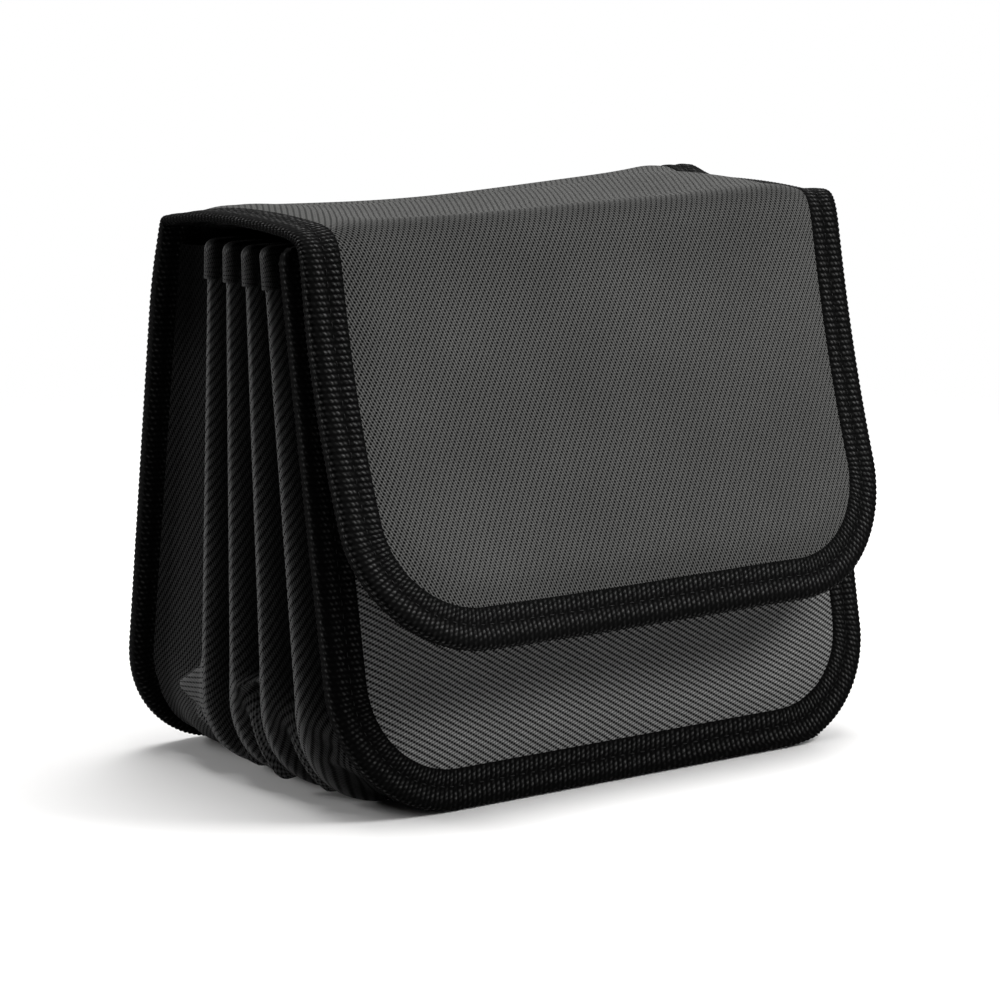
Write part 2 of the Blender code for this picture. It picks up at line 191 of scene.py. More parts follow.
class Profile:
    """A panel's outer face seen from the side: a line in y and z, with the way into the case.

    The drawn line is sampled evenly, run on straight past both ends, and averaged with a bell
    curve, which rounds its corners. The bell is as wide as the first softness up to the middle
    and then grows or shrinks to the second. corners are the radii at the start and the end.
    A row of pinches is a place along the line, and how far the outer and the inner face come
    in there at a taped edge.
    """

    STEP = 0.25 * MM
    OVERRUN = 16 * MM

    def __init__(self, points, corners, softness=()):
        self.corners = corners
        points = np.asarray(points, float)
        along = lengths_along(points)
        self.length = along[-1]
        self.pinches = ((0, 0.95 * MM, 0.95 * MM),)
        self.s = np.arange(-self.OVERRUN, self.length + self.OVERRUN, self.STEP)
        inside = np.clip(self.s, 0, self.length)
        line = resampled(inside, along, points)
        first = unit(points[1] - points[0])
        last = unit(points[-1] - points[-2])
        past = self.s - inside
        line += np.where(past < 0, past, 0)[:, None] * first
        line += np.where(past > 0, past, 0)[:, None] * last
        if softness:
            later = smooth((self.s / self.length - 0.5) / 0.13)[:, None]
            near, far = (self.averaged(line, width) for width in softness)
            line = near + (far - near) * later
        self.line = line
        heading = unit(np.gradient(line, axis=0))
        self.way_in = quarter_turned(heading)

    def averaged(self, line, width):
        reach = int(3 * width / self.STEP)
        bell_curve = np.exp(-0.5 * (np.arange(-reach, reach + 1) * self.STEP / width) ** 2)
        bell_curve /= bell_curve.sum()
        middle = [np.convolve(line[:, k], bell_curve, "valid") for k in (0, 1)]
        result = line.copy()
        result[reach:-reach] = np.column_stack(middle)
        return result

    def pinched(self, s, depth, distance):
        """A depth once the edge is pinched: fully up to 0.4 legs from it, then fading out."""
        places, outer, inner = zip(*self.pinches)
        near = 1 - smooth((distance - 0.4 * TAPE_LEG) / (12 * MM))
        outer, inner = np.interp(s, places, outer), np.interp(s, places, inner)
        return depth + near * (outer - (outer + inner) * depth / PANEL)

    def half(self, s):
        """Half the panel's width, with its corners round."""
        start, end = self.corners
        return np.minimum(end_width(s, start), end_width(self.length - s, end))

    def from_edge(self, u, s):
        """The distance from the nearest edge or round corner."""
        side = HALF - np.abs(u)
        distance = np.minimum(side, np.minimum(s, self.length - s))
        for end, corner in zip((s, self.length - s), self.corners):
            across, down = np.clip(corner - side, 0, None), np.clip(corner - end, 0, None)
            in_corner = (across > 0) & (down > 0)
            rounded = np.minimum(distance, corner - np.hypot(across, down))
            distance = np.where(in_corner, rounded, distance)
        return distance

    def widened(self, u, s):
        return u

    def place(self, u, s, depth):
        """Points u across, s along and depth in."""
        u, s, depth = np.broadcast_arrays(self.widened(u, s), s, depth)
        y, z, in_y, in_z = (
            np.interp(s, self.s, values) for values in (*self.line.T, *self.way_in.T)
        )
        return np.stack([u, y + depth * in_y, z + depth * in_z], axis=-1)


def foot_height(lean):
    return REACH * math.cos(lean) + (PANEL + REACH) * math.sin(lean)


def foot_inset(lean):
    return REACH * (math.cos(lean) + math.sin(lean))


BACK_LEAN = math.atan2(BASE_DEPTH / 2 - BACK_CREASE[0], BACK_CREASE[1])
BACK_FOOT = np.array([BASE_DEPTH / 2 - foot_inset(BACK_LEAN), foot_height(BACK_LEAN)])
FRONT_FOOT = np.array([foot_inset(FRONT_LEAN) - BASE_DEPTH / 2, foot_height(FRONT_LEAN)])
FRONT_TOP = FRONT_CREASE[1] - FRONT_DROP
FRONT_HEAD = FRONT_FOOT + (FRONT_TOP - FRONT_FOOT[1]) * np.array([math.tan(FRONT_LEAN), 1])


def cover_line():
    """The cover's outer face from the back's foot, over both creases, to the flap's edge.

    The top bows up by 4 t (1 - t) times its arch. The flap turns evenly as it goes down.
    """
    t = np.linspace(0, 1, 200)[:, None]
    top = BACK_CREASE + t * (FRONT_CREASE - BACK_CREASE) + 4 * t * (1 - t) * [0, TOP_ARCH]
    heading = -math.pi / 2 - FLAP_LEAN - FLAP_FLARE * t[:, 0]
    step = FLAP_LENGTH / (len(t) - 1)
    flap = FRONT_CREASE + np.cumsum(np.column_stack([np.cos(heading), np.sin(heading)]), 0) * step
    return np.vstack([[BACK_FOOT], top, flap])


COVER = Profile(cover_line(), (BACK_CORNER, FLAP_CORNER), (BACK_SOFTNESS, FRONT_SOFTNESS))
FRONT = Profile([FRONT_HEAD, FRONT_FOOT], (FRONT_TOP_CORNER, FRONT_CORNER))
BACK_END = np.linalg.norm(BACK_CREASE - BACK_FOOT)  # s at the back crease
FLAP_START = COVER.length - FLAP_LENGTH  # s at the front crease
MIDDLE = (BACK_END + FLAP_START) / 2
COVER.pinches = (
    (BACK_END - 12 * MM, 0.1 * MM, 1.8 * MM),
    (BACK_END + 8 * MM, 1.0 * MM, 2.2 * MM),
    (FLAP_START, 1.0 * MM, 1.8 * MM),
    (FLAP_START + 25 * MM, 0.95 * MM, 0.95 * MM),
)


def end_width(distance, corner, half=HALF):
    """Half the width of a panel so far from its end edge, whose corners are round."""
    rise = np.clip(corner - distance, 0, corner)
    return half - corner + np.sqrt(corner**2 - rise**2)


def fuller_right(u, s):
    """Spreads the right side of the front panel, whose lower right corner is less round."""
    above = FRONT.length - s
    spread = end_width(above, FRONT_RIGHT_CORNER) / end_width(above, FRONT_CORNER) - 1
    return u * (1 + spread * smooth(u / (25 * MM))) + 0.9 * MM * smooth(u / (60 * MM))


def fuller_back(u, s):
    """Spreads the back's left side a little, and the right end of the rear crease more."""
    below = 1 - smooth((s - BACK_END + 25 * MM) / (25 * MM))
    left = 0.7 * MM * smooth(-u / (60 * MM)) * below
    return u - left + 2.5 * MM * smooth(u / (70 * MM)) * bell(s, BACK_END, 22 * MM)


FRONT.widened = fuller_right
COVER.widened = fuller_back


def bell(value, centre, width):
    return np.exp(-(((value - centre) / width) ** 2))


def cover_swell(u, s):
    """How far the whole cover stands out of its plane.

    The top is arched on the left, sags left of the middle, rises towards the right and falls
    away at its right edge. The flap waves gently and its lower edge curls.
    """
    across = u / HALF
    on_top = smooth((s - BACK_END) / (14 * MM)) * smooth((FLAP_START - s) / (14 * MM))
    top = 1.5 * bell(across, -0.95, 0.2) - 1.9 * bell(across, -0.3, 0.4)
    top = top - 1.2 * bell(across, 0.35, 0.3) + 0.2 * bell(across, 0.68, 0.15)
    top = top - 1.2 * bell(across, 1.02, 0.2) - 1.2
    drop = -0.2 * bell(across, 1.02, 0.12) * bell(s, FLAP_START, 14 * MM)
    rear = -0.6 - 2.4 * bell(across, -0.1, 0.6) + 2.0 * bell(across, 0.97, 0.2)
    drop = drop + rear * bell(s, BACK_END, 12 * MM)
    down = np.clip((s - FLAP_START) / FLAP_LENGTH, 0, 1)
    wave = 0.7 * np.sin(2.6 * across + 0.6) * np.sin(math.pi * down)
    curl = 0.9 * np.sin(4.4 * across - 0.9) * down**3
    curl = curl + 1.4 * (bell(across, -0.9, 0.5) - bell(across, 0.9, 0.6)) * down**3
    return MM * (top * on_top + drop + wave + curl)


def front_swell(u, s):
    across, down = u / HALF, s / FRONT.length
    return 0.6 * MM * np.cos(2.2 * across) * np.sin(math.pi * down)


def puff(distance, height):
    """The padding's rise between the taped edges, where the seams hold it down."""
    return height * smooth((distance - 0.5 * TAPE_LEG) / (14 * MM)) ** 0.8


def grid_normals(points, ring=False):
    """The normals of a grid: its down direction crossed with its across direction."""
    if ring:
        points = np.concatenate([points[-1:], points, points[:1]])
    normals = unit(np.cross(np.gradient(points, axis=0), np.gradient(points, axis=1)))
    return normals[1:-1] if ring else normals


def rim_faces(index, ring):
    """Quads that close the gap between a grid and its copy, in the order of its own faces."""
    count = index.max() + 1
    edges = [(index[1:, 0], index[:-1, 0]), (index[:-1, -1], index[1:, -1])]
    if not ring:
        edges += [(index[0, :-1], index[0, 1:]), (index[-1, 1:], index[-1, :-1])]
    return [np.stack([a, b, b + count, a + count], -1) for a, b in edges]


def slab(
    name, outer, inner, finish, slot, cloth, ring=False, normals=None, tone=1.0, held=None
):
    """A closed sheet between two grids of points, joined round its rim.

    cloth is the grid of cloth coordinates in millimetres, across and along. The painted
    shading is light and shade painted into the cloth's colour at each point, as a factor:
    lighter where light falls on it, darker where shade falls.
    held, how a piece that is a free sheet of cloth would be held in place, is not used.
    """
    rows, columns = outer.shape[:2]
    count = rows * columns
    index = np.arange(count).reshape(rows, columns)
    if ring:
        index = np.vstack([index, index[:1]])
    a, b, c, d = index[:-1, :-1], index[1:, :-1], index[1:, 1:], index[:-1, 1:]
    face = np.stack([a, b, c, d], -1).reshape(-1, 4)
    faces = np.concatenate([face, face[:, ::-1] + count, *rim_faces(index, ring)])
    own_normals = grid_normals(outer, ring)
    facing = np.sign(np.sum(own_normals * (outer - inner)))
    if facing < 0:
        faces = faces[:, ::-1]
    outer_normals = facing * own_normals if normals is None else normals
    inner_normals = -facing * grid_normals(inner, ring) if normals is None else -normals
    mesh = bpy.data.meshes.new(name)
    mesh.vertices.add(2 * count)
    mesh.vertices.foreach_set("co", np.concatenate([outer, inner]).ravel())
    mesh.loops.add(faces.size)
    mesh.loops.foreach_set("vertex_index", faces.ravel().astype(np.int32))
    mesh.polygons.add(len(faces))
    mesh.polygons.foreach_set("loop_start", np.arange(0, faces.size, 4, dtype=np.int32))
    mesh.update(calc_edges=True)
    mesh.validate()
    place = np.zeros((2, count, 3), np.float32)
    place[:, :, :2] = cloth.reshape(1, count, 2)
    # the third stored value is the painted light and shade, a factor on the colour
    place[:, :, 2] = np.broadcast_to(tone, (rows, columns)).reshape(1, count)
    attribute = mesh.attributes.new("cloth", "FLOAT_VECTOR", "POINT")
    attribute.data.foreach_set("vector", place.ravel())
    mesh.shade_smooth()
    both = np.concatenate([outer_normals.reshape(-1, 3), inner_normals.reshape(-1, 3)])
    mesh.normals_split_custom_set_from_vertices(both.tolist())
    piece = new_piece(name, mesh, finish)
    return piece


def new_piece(name, mesh, finish):
    """An object in the scene with that mesh and finish."""
    mesh.materials.append(FINISH[finish])
    piece = bpy.data.objects.new(name, mesh)
    bpy.context.scene.collection.objects.link(piece)
    return piece


def settle(piece, body, node):
    """Says which body a piece rides on, and which node it stands for."""
    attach(piece, body)
    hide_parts(node)


def cloth_map(across, along):
    """Cloth coordinates in millimetres."""
    return np.stack(np.broadcast_arrays(across, along), -1) / MM


def spaced(low, high, gap):
    return np.linspace(low, high, max(2, int(round((high - low) / gap)) + 1))


def corner_spaced(corner, gap):
    """Distances from an end edge that follow a round corner at even angles."""
    angles = spaced(0, math.pi / 2, gap / corner)
    return corner * (1 - np.cos(angles))


def even_tone(u, s):
    return 1.0


def cover_painted_shading(u, s):
    """Painted shade along the front crease and over the top, and painted light on the flap below
    it.
    """
    top = smooth((FLAP_START - 4 * MM - s) / (8 * MM))
    return 1 - 0.52 * bell(s, FLAP_START - 1.5 * MM, 5 * MM) - 0.16 * top + 0.16 * bell(
        s, FLAP_START + 24 * MM, 18 * MM
    )


def rear_tape_painted_shading(u, s):
    # Painted shade: the tape is darkened on the back, and less so past the rear crease.
    return 0.4 + 0.3 * smooth((s - BACK_END) / (20 * MM))


def front_tape_painted_shading(u, s):
    # Painted shade: the front's tape is darkened along its left side.
    return 0.5 + 0.5 * smooth((u + 80 * MM) / (35 * MM))


def panel_slab(name, profile, s, swell, depths, rise, finish, slot, tone=even_tone):
    """One layer of a panel: rows at each s, each as wide as the panel is there.

    depths are those of its two faces, and rise is the puff of both.
    """
    s = s[:, None]
    u = np.linspace(-1, 1, PANEL_COLUMNS) * profile.half(s)
    distance = profile.from_edge(u, s)
    lift = swell(u, s) + puff(distance, rise)
    outer, inner = (
        profile.place(u, s, profile.pinched(s, depth, distance) - lift) for depth in depths
    )
    return slab(
        name, outer, inner, finish, slot, cloth_map(u, s), tone=tone(u, s), held="stretched"
    )


class Edge:
    """The outline of a panel: points (u, s) at even steps, the way out, and the length so far.

    It is a closed loop down the left side, across the far end, up the right side and across
    the start. Its steps are shares of a rib, and a whole number of ribs goes round it.
    """

    def __init__(self, points, way, along):
        self.points, self.way, self.along = points, way, along

    @classmethod
    def round_panel(cls, panel):
        fine, length = 0.1 * MM, panel.length
        start_corner, end_corner = panel.corners
        s = np.concatenate([
            corner_spaced(start_corner, fine)[:-1],
            spaced(start_corner, length - end_corner, fine),
            length - corner_spaced(end_corner, fine)[::-1][1:],
        ])
        width = panel.half(s)
        u = np.concatenate([-width, width[::-1], -width[:1]])
        loop = np.column_stack([u, np.concatenate([s, s[::-1], s[:1]])])
        along = lengths_along(loop)
        ribs = round(along[-1] / RIB_PITCH)
        even = np.linspace(0, along[-1], ribs * RIB_STEPS + 1)
        points = resampled(even, along, loop)
        heading = unit(np.gradient(np.vstack([points[-2], points, points[1]]), axis=0))[1:-1]
        return cls(points, quarter_turned(heading), even * ribs * RIB_PITCH / along[-1])

    def part(self, picks):
        return Edge(self.points[picks], self.way[picks], self.along[picks])

    def cut_at(self, s):
        """The stretch past s, and the rest. They share their end points."""
        past = np.flatnonzero(self.points[:, 1] >= s)
        first, last = past[0], past[-1]
        fore = self.part(slice(first, last + 1))
        rear = self.part(np.r_[last : len(self.along) - 1, 0 : first + 1])
        rear.along = rear.along + np.where(rear.along < self.along[last], self.along[-1], 0)
        return fore, rear


def tape_section():
    """The tape's outer face across its fold: (inset, depth), the way out, and the distance.

    It is a leg on the outer face, a half ellipse round the edge and a leg on the inner one.
    """
    legs = np.linspace(TAPE_LEG, 0, 12)
    turn = np.linspace(0, math.pi, 9)[1:-1]
    middle, radius = PANEL / 2, PANEL / 2 + STAND
    inset = np.concatenate([legs, -0.35 * radius * np.sin(turn), legs[::-1]])
    leg = np.full(len(legs), radius)
    depth = middle + np.concatenate([-leg, -radius * np.cos(turn), leg])
    points = np.column_stack([inset, depth])
    heading = unit(np.gradient(points, axis=0))
    return points, quarter_turned(heading), lengths_along(points)


def tape_relief(distance, along, total):
    """The tape's height over its base: two lobes a leg, and ribs across them.

    A lobe is |sin| to the power 0.6 between the selvedge, the stitched channel and the fold.
    A rib is a cosine of the length along the tape.
    """
    across = np.minimum(distance, total - distance) / (TAPE_LEG / 2)
    lobe = np.abs(np.sin(math.pi * np.minimum(across, 2.5))) ** 0.6
    groove = bell(distance, total / 2, 0.5 * MM)
    lobe = np.where(across > 2, np.maximum(lobe, 0.7) - 0.6 * groove, lobe)
    rib = 0.5 + 0.5 * np.cos(2 * math.pi * along / RIB_PITCH + 0.9 * across)
    return lobe * (LOBE_RELIEF - RIB_RELIEF) + np.maximum(lobe, 0.25) * RIB_RELIEF * rib**0.7


def tape(name, profile, edge, swell, ring, tone):
    """Ribbed tape folded over the edge of a panel."""
    if ring:
        edge = edge.part(slice(0, -1))
    section, out, distance = tape_section()
    relief = tape_relief(distance[None, :], edge.along[:, None], distance[-1])
    faces = []
    for height in (relief, np.full_like(relief, -0.6 * TAPE)):
        inset = section[:, 0] + out[:, 0] * height
        depth = section[:, 1] + out[:, 1] * height
        u = edge.points[:, :1] - edge.way[:, :1] * inset
        s = edge.points[:, 1:] - edge.way[:, 1:] * inset
        depth = profile.pinched(s, depth, np.maximum(inset, 0))
        faces.append(profile.place(u, s, depth - swell(u, s)))
    cloth = cloth_map(distance, edge.along[:, None])
    return slab(name, *faces, "tape", "edge_tape", cloth, ring, tone=tone(u, s))


def stitches(name, profile, edge, swell):
    """A row of thread stitches: each is a bent tube of 5 rings of 6 points on the surface.

    The tube's ends dive into the cloth, and its middle stands up by its own thickness.
    """
    rings, sides, radius = 5, 6, 0.17 * MM
    inset, stand = TAPE_LEG / 2, 0.8 * STAND
    length = edge.along[-1] - edge.along[0]
    count = int(length / STITCH_PITCH)
    centre = edge.along[0] + (np.arange(count) + 0.5) * length / count
    share = np.linspace(-0.5, 0.5, rings)
    at = (centre[:, None] + share * STITCH_PITCH * 0.72).ravel()
    pu, ps, wu, ws = (
        np.interp(at, edge.along, values) for values in (*edge.points.T, *edge.way.T)
    )
    u, s = pu - wu * inset, ps - ws * inset
    bow = np.tile(radius * (1.4 - 9 * share**2), count)
    core = profile.place(u, s, profile.pinched(s, -stand, inset) - bow - swell(u, s))
    on_face = profile.place(u, s, 0)
    up = unit(profile.place(u, s, -MM) - on_face)
    beside = unit(profile.place(u + wu * MM, s + ws * MM, 0) - on_face)
    angle = np.linspace(0, 2 * math.pi, sides, endpoint=False)[None, :, None]
    size = np.tile(radius * np.sqrt(1.02 - (2 * share) ** 2), count)[:, None, None]
    tube = core[:, None] + size * (np.cos(angle) * beside[:, None] + np.sin(angle) * up[:, None])
    index = np.arange(count * rings * sides).reshape(count, rings, sides)
    after = np.roll(index, -1, axis=2)
    side = np.stack([index[:, :-1], after[:, :-1], after[:, 1:], index[:, 1:]], -1)
    ends = np.concatenate([index[:, 0, ::-1], index[:, -1]])
    mesh = bpy.data.meshes.new(name)
    faces = side.reshape(-1, 4).tolist() + ends.tolist()
    mesh.from_pydata(tube.reshape(-1, 3).tolist(), [], faces)
    mesh.shade_smooth()
    return new_piece(name, mesh, "thread")


def ridge_y(index, height):
    """The centre line of a divider, numbered from the back, at a height above the ground."""
    head = BACK_CREASE[0] - RIDGE_HEAD_SHARES[index] * (BACK_CREASE[0] - FRONT_CREASE[0])
    foot = BASE_DEPTH / 2 - RIDGE_FOOT_SHARES[index] * BASE_DEPTH
    return foot + (head - foot) * (height - BOARD_FLOOR) / (BOARD_HEAD - BOARD_FLOOR)


SEAMS = {
    "back": (BACK_FOOT, BACK_LEAN, -1, BACK_SEAM),
    "front": (FRONT_FOOT, FRONT_LEAN, 1, FRONT_SEAM),
}


def seam_y(panel, height):
    """y of the side cloth's seam on a panel, at a height above the ground."""
    foot, lean, way, depth = SEAMS[panel]
    base = foot + depth * np.array([way * math.cos(lean), -math.sin(lean)])
    return base[0] + way * (height - base[1]) * math.tan(lean)


def side_stations(height):
    """y of the back seam, the four ridges and the front seam at each height."""
    ridges = (ridge_y(index, height) for index in range(DIVIDERS))
    return [seam_y("back", height), *ridges, seam_y("front", height)]


def crumple(y, z):
    """The slack of the side cloth near its foot: how far the rows of FOLDS raise it.

    A fold is height exp(-(d / width)^2), where d is the distance from its line.
    """
    total = np.zeros_like(z)
    for y0, z0, y1, z1, height, width in np.array(FOLDS) * MM:
        along = np.array([y1 - y0, z1 - z0])
        share = np.clip(((y - y0) * along[0] + (z - z0) * along[1]) / (along @ along), 0, 1)
        distance = np.hypot(y - y0 - share * along[0], z - z0 - share * along[1])
        total = total + height * bell(distance, 0, width)
    return total


def facet(y, z):
    """1 inside a triangle of slack that stands out from the back seam to the first ridge."""
    t = np.clip((31 * MM - y) / (13 * MM), 0, 1.3)
    inside = 1 - np.abs(z - 20.5 * MM - 1.4 * MM * t) / (0.8 * MM + 7.5 * MM * t)
    return smooth(3.5 * inside) * smooth(6 * t) * smooth(z / (12 * MM))


def side_grid():
    """The pleated cloth of the right side as a grid of points.

    A column is a straight line over a quarter circle, seen from the front. Between two
    ridges the cloth sinks by depth (1 - exp(-(d / w)^4)), where d is the distance from the
    ridge and w its width, so a ridge is narrow and its valley wide. Behind the first ridge it
    slants in from the back's edge.
    """
    share = 0.5 - 0.5 * np.cos(np.linspace(0, math.pi, SIDE_COLUMNS + 1))
    column = np.concatenate([[0], *(k + share[1:] for k in range(DIVIDERS + 1))])
    row = np.linspace(0, 1, SIDE_ROWS)[:, None]
    stations = np.array([side_stations(z) for z in (0.0, SIDE_TOP)])
    mid_y = np.interp(column, np.arange(DIVIDERS + 2), stations.mean(0))
    from_back = smooth((stations[:, 0].mean() - mid_y) / (12 * MM))
    from_front = smooth((mid_y - stations[:, -1].mean()) / (12 * MM))
    inner = from_back * from_front
    corner = SIDE_CORNER * inner + (1 - from_back) * BACK_CORNER + (1 - from_front) * FRONT_CORNER
    crest = WIDTH / 2 - HEM - GAP - SIDE_CLOTH / 2
    floor = 0.2 * MM + (1 - inner) * 1.2 * MM
    to_ridge = np.abs(column - np.clip(np.round(column), 1, DIVIDERS))
    head = SIDE_TOP + 7 * MM * np.where(column < 1, 1, 1 - smooth(to_ridge * 2.2))
    straight = head - floor - corner
    along = row * (straight + corner * (math.pi / 2 - math.radians(4)))
    angle = math.pi / 2 - np.clip(along - straight, 0, None) / corner
    out = np.stack([np.sin(angle), np.zeros_like(angle), -np.cos(angle)], -1)
    x = crest - corner + corner * np.sin(angle)
    z = np.where(along < straight, head - along, floor + corner * (1 - np.cos(angle)))
    lines = np.stack(side_stations(z))
    low = np.minimum(column.astype(int), DIVIDERS)
    first = np.take_along_axis(lines, np.broadcast_to(low, z.shape)[None], 0)[0]
    last = np.take_along_axis(lines, np.broadcast_to(low + 1, z.shape)[None], 0)[0]
    y = first + (last - first) * (column - low)
    distance = (first - last) * to_ridge
    width = 2.5 * MM + 1.1 * MM * smooth((40 * MM - z) / (36 * MM))
    sink = 1 - np.exp(-((distance / width) ** 4))
    slant = np.clip((lines[0] - y) / (lines[0] - lines[1] - 3.4 * MM), 0, 1)
    rear = low == 0
    triangle = facet(y, z)
    rear_depth = (PLEAT_DEPTH + 1.5 * MM) * slant * (1 - 0.85 * triangle)
    full = np.where(rear, rear_depth, PLEAT_DEPTH)
    full = full * np.where(rear, 1, from_front)
    seam = np.where(rear, BACK_SEAM_DEPTH * (1 - slant), FRONT_SEAM_DEPTH * (1 - from_front))
    upright = 0.25 + 0.75 * smooth((z + 2 * MM) / (26 * MM))
    sunk = full * sink * upright + seam * smooth((z + 2 * MM) / (22 * MM))
    slack = crumple(y, z) * inner * sink
    points = np.stack([x, y, z], -1) - (sunk - slack)[..., None] * out
    # Painted light and shade on the side cloth: the crests are lit, the valleys dark, the rear
    # flank lighter low down and darker high up, the facet and folds lighter, and all of it
    # lighter near the foot.
    lit_crest = bell(distance, 0, 0.5 * width) * smooth((from_front - 0.02) * 9)
    plain = np.where(rear, 0.65 + 0.3 * smooth((80 * MM - z) / (50 * MM)), 0.38)
    tone = plain + 3.4 * lit_crest + 1.5 * triangle * rear + 0.28 * slack / MM
    tone = tone * (1 - 0.8 * smooth((z - 96 * MM) / (24 * MM)) * rear * (1 - lit_crest))
    tone = tone * (1 + 0.5 * smooth((35 * MM - z) / (25 * MM)))
    steps = np.linalg.norm(np.diff(points, axis=1), axis=2)
    rows = np.arange(SIDE_ROWS)
    near = bell(rows[:, None], rows[None, :], 14)
    steps = near @ steps / near.sum(1, keepdims=True)
    across = np.concatenate([np.zeros((SIDE_ROWS, 1)), np.cumsum(steps, axis=1)], axis=1)
    across = across - across.mean(1, keepdims=True)
    cloth = turned_facet(np.stack([across, along], -1), triangle * rear)
    return points, cloth / MM, tone


def turned_facet(cloth, share):
    """Cloth coordinates turned in the triangle of slack, where the twill lies nearly level."""
    weight = share[..., None]
    centre = (cloth * weight).sum((0, 1)) / weight.sum()
    turn = np.radians(FACET_TURN) * smooth(2 * share)
    cos, sin = np.cos(turn), np.sin(turn)
    a, b = np.moveaxis(cloth - centre, -1, 0)
    return centre + np.stack([a * cos - b * sin, a * sin + b * cos], -1)


def panel_materials():
    """Every finish of the case, by its name here."""
    return {
        "flap": twill("flap_twill", (0.0335, 0.0335, 0.0325), 0, 0.1, 0.1),
        # Painted light: the front's twill is a lighter copy of the flap's.
        "front": twill("front_twill", (0.1, 0.1, 0.099), 90, 0.74, 0.1),
        # Painted shade: the sides' twill is a darker copy of the flap's.
        "side": twill("side_twill", (0.0145, 0.0145, 0.0145), 0, 0.5, 0.08),
        "tape": ribbed_tape(),
        "hem": twill("hem_tape", (0.012, 0.012, 0.012), 40, 0, 0.1),
        "lining": plain_weave("lining_weave", (0.018, 0.018, 0.019)),
        "divider": plain_weave("divider_weave", (0.022, 0.022, 0.023)),
        "foam": foam_finish(),
        "hook": fuzz("hook_fuzz", (0.012, 0.012, 0.012), 1.6, 0.9),
        "loop": fuzz("loop_fuzz", (0.02, 0.02, 0.02), 0.5, 1.0),
        "thread": thread_finish(),
    }


class Tree:
    """Short calls for building a node tree."""

    def __init__(self, tree):
        self.tree = tree

    def add(self, kind, inputs=(), **settings):
        made = self.tree.nodes.new(kind)
        for key, value in settings.items():
            setattr(made, key, value)
        for socket, value in dict(inputs).items():
            self.put(made.inputs[socket], value)
        return made

    def put(self, socket, value):
        if isinstance(value, bpy.types.NodeSocket):
            self.tree.links.new(value, socket)
        else:
            socket.default_value = value

    def math(self, operation, *values):
        made = self.add("ShaderNodeMath", dict(enumerate(values)), operation=operation)
        return made.outputs[0]

    def product(self, value, *factors):
        for factor in factors:
            value = self.math("MULTIPLY", value, factor)
        return value

    def linear(self, value, slope, start):
        return self.math("MULTIPLY_ADD", value, slope, start)

    def wave(self, value):
        """1/2 + 1/2 cos of so many turns."""
        return self.linear(self.math("COSINE", self.product(value, 2 * math.pi)), 0.5, 0.5)

    def dot(self, vector, direction):
        values = {0: vector, 1: direction}
        return self.add("ShaderNodeVectorMath", values, operation="DOT_PRODUCT").outputs["Value"]

    def noise(self, vector, scale, detail):
        values = {"Vector": vector, "Scale": scale, "Detail": detail}
        return self.add("ShaderNodeTexNoise", values).outputs["Fac"]

    def split(self, vector):
        return self.add("ShaderNodeSeparateXYZ", {"Vector": vector}).outputs

    def mix(self, factor, first, second):
        values = {"Factor": factor, "A": first, "B": second}
        return self.add("ShaderNodeMix", values, data_type="RGBA").outputs["Result"]


def new_group(name, inputs, outputs):
    """An empty node group with those value or vector sockets."""
    group = bpy.data.node_groups.new(name, "ShaderNodeTree")
    for label, kind in inputs.items():
        group.interface.new_socket(label, in_out="INPUT", socket_type=f"NodeSocket{kind}")
    for label in outputs:
        group.interface.new_socket(label, in_out="OUTPUT", socket_type="NodeSocketFloat")
    tree = Tree(group)
    return group, tree, tree.add("NodeGroupInput").outputs, tree.add("NodeGroupOutput")


def twill_group():
    """Twill: a slanted lattice of small dark holes with bright floats between them.

    With r and w the turns across the ridges and the rows, a hole is where the sum of
    a cos 2 pi (m r + n w) is high, over the terms in TWILL_TERMS. Groove darkens the lines
    of holes.
    """
    inputs = {"Cloth": "Vector", "Turn": "Float", "Groove": "Float"}
    group, tree, given, put = new_group("twill", inputs, ["Height", "Shade"])
    laid = {"Vector": given["Cloth"], "Angle": given["Turn"]}
    turned = tree.add("ShaderNodeVectorRotate", laid, rotation_type="Z_AXIS").outputs[0]
    drift = tree.product(tree.noise(turned, 0.09, 2.0), 0.15)
    holes = 0.0
    for ridge, row, weight in TWILL_TERMS:
        pitch = ridge * np.array(TWILL_RIDGES) + row * np.array(TWILL_ROWS)
        wave = tree.wave(tree.linear(drift, ridge + row, tree.dot(turned, (*pitch, 0))))
        holes = tree.linear(wave, weight, holes)
        if (ridge, row) == (1, 0):
            groove = tree.product(wave, given["Groove"])
    weave = tree.math("MAXIMUM", tree.math("SUBTRACT", 1.08, holes), 0.0)
    fibre = tree.linear(tree.noise(turned, 1.7, 3.0), 1.0, 0.5)
    between = tree.math("SUBTRACT", 1.0, groove)
    tree.put(put.inputs["Height"], weave)
    tree.put(put.inputs["Shade"], tree.product(tree.math("POWER", weave, 1.9), between, fibre))
    return group


def weave_group():
    """Plain weave: two crossing waves, one yarn over and one under."""
    group, tree, given, put = new_group("plain_weave", {"Cloth": "Vector"}, ["Height"])
    split = tree.split(given["Cloth"])
    first, second = (tree.wave(tree.product(split[axis], 1.9)) for axis in "XY")
    over = tree.math("MAXIMUM", tree.product(first, 0.8), second)
    uneven = tree.math("ADD", tree.noise(given["Cloth"], 0.9, 2.0), 0.4)
    tree.put(put.inputs["Height"], tree.product(over, uneven))
    return group


